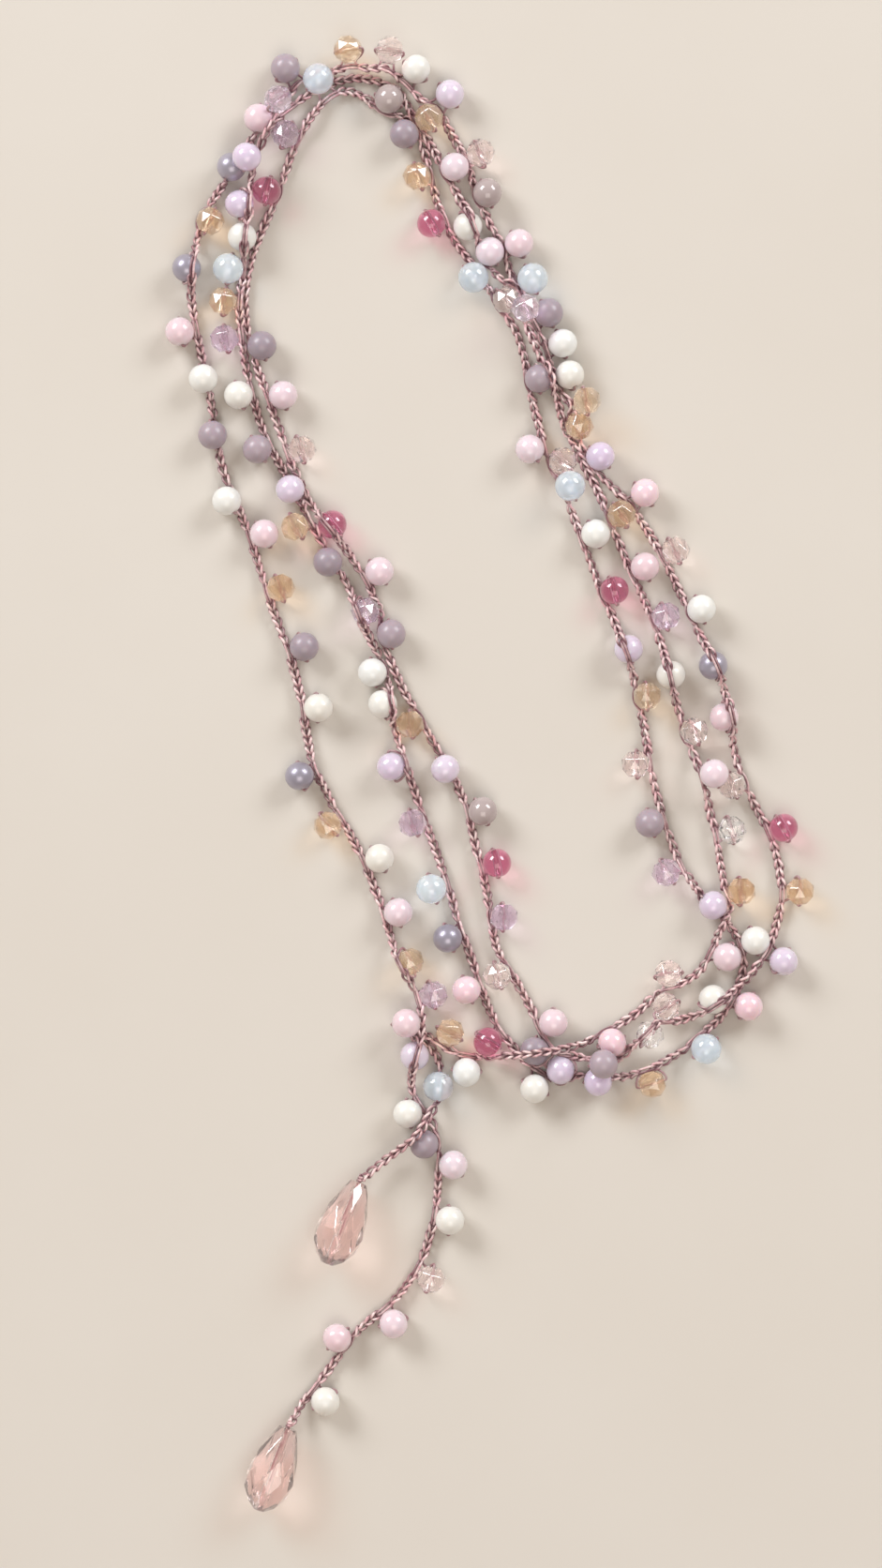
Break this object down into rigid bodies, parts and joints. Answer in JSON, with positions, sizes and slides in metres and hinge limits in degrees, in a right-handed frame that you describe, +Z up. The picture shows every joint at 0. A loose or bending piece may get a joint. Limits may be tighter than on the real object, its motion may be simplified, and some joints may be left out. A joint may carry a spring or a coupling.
{
  "type": "multi-strand bead necklace",
  "caption": "Long strand of round and cut beads wound in three loops, tails hooked together and ended in two faceted drops.",
  "frame": {"origin": "centre of the laid-out necklace in plan, on the floor it lies on", "axes": "+Z up from the floor, +Y towards the top of the loops, +X across the loops to the right seen from above"},
  "size_m": [0.1382, 0.3135, 0.0115],
  "materials": {
    "thread": "silky",
    "cream_pearl": "pearl",
    "grey_glass": "opaque glass",
    "lavender_glass": "milky glass",
    "pink_glass": "milky glass",
    "coral_pearl": "pearl",
    "steel_glass": "metal-coated glass",
    "blue_opal": "opal",
    "raspberry_glass": "clear",
    "champagne_glass": "cut and clear",
    "rose_glass": "cut and clear",
    "lilac_glass": "cut and clear",
    "clear_glass": "cut and clear",
    "taupe_glass": "opaque glass",
    "drop_glass": "cut and clear"
  },
  "bodies": {
    "root": {"strand_tail_long": "thread", "strand_left_outer": "thread", "strand_right_outer": "thread", "strand_left_inner_low": "thread", "strand_left_inner": "thread", "strand_right_inner": "thread", "strand_left_middle_low": "thread", "strand_left_middle": "thread", "strand_right_middle": "thread", "strand_hook": "thread", "strand_tail_short": "thread", "beads_cream": "cream_pearl", "beads_grey": "grey_glass", "beads_lavender": "lavender_glass", "beads_pink": "pink_glass", "beads_coral": "coral_pearl", "beads_steel": "steel_glass", "beads_blue": "blue_opal", "beads_raspberry": "raspberry_glass", "beads_champagne": "champagne_glass", "beads_rose": "rose_glass", "beads_lilac": "lilac_glass", "beads_clear": "clear_glass", "beads_taupe": "taupe_glass", "drop_long": "drop_glass", "drop_short": "drop_glass"}
  },
  "joints": []
}
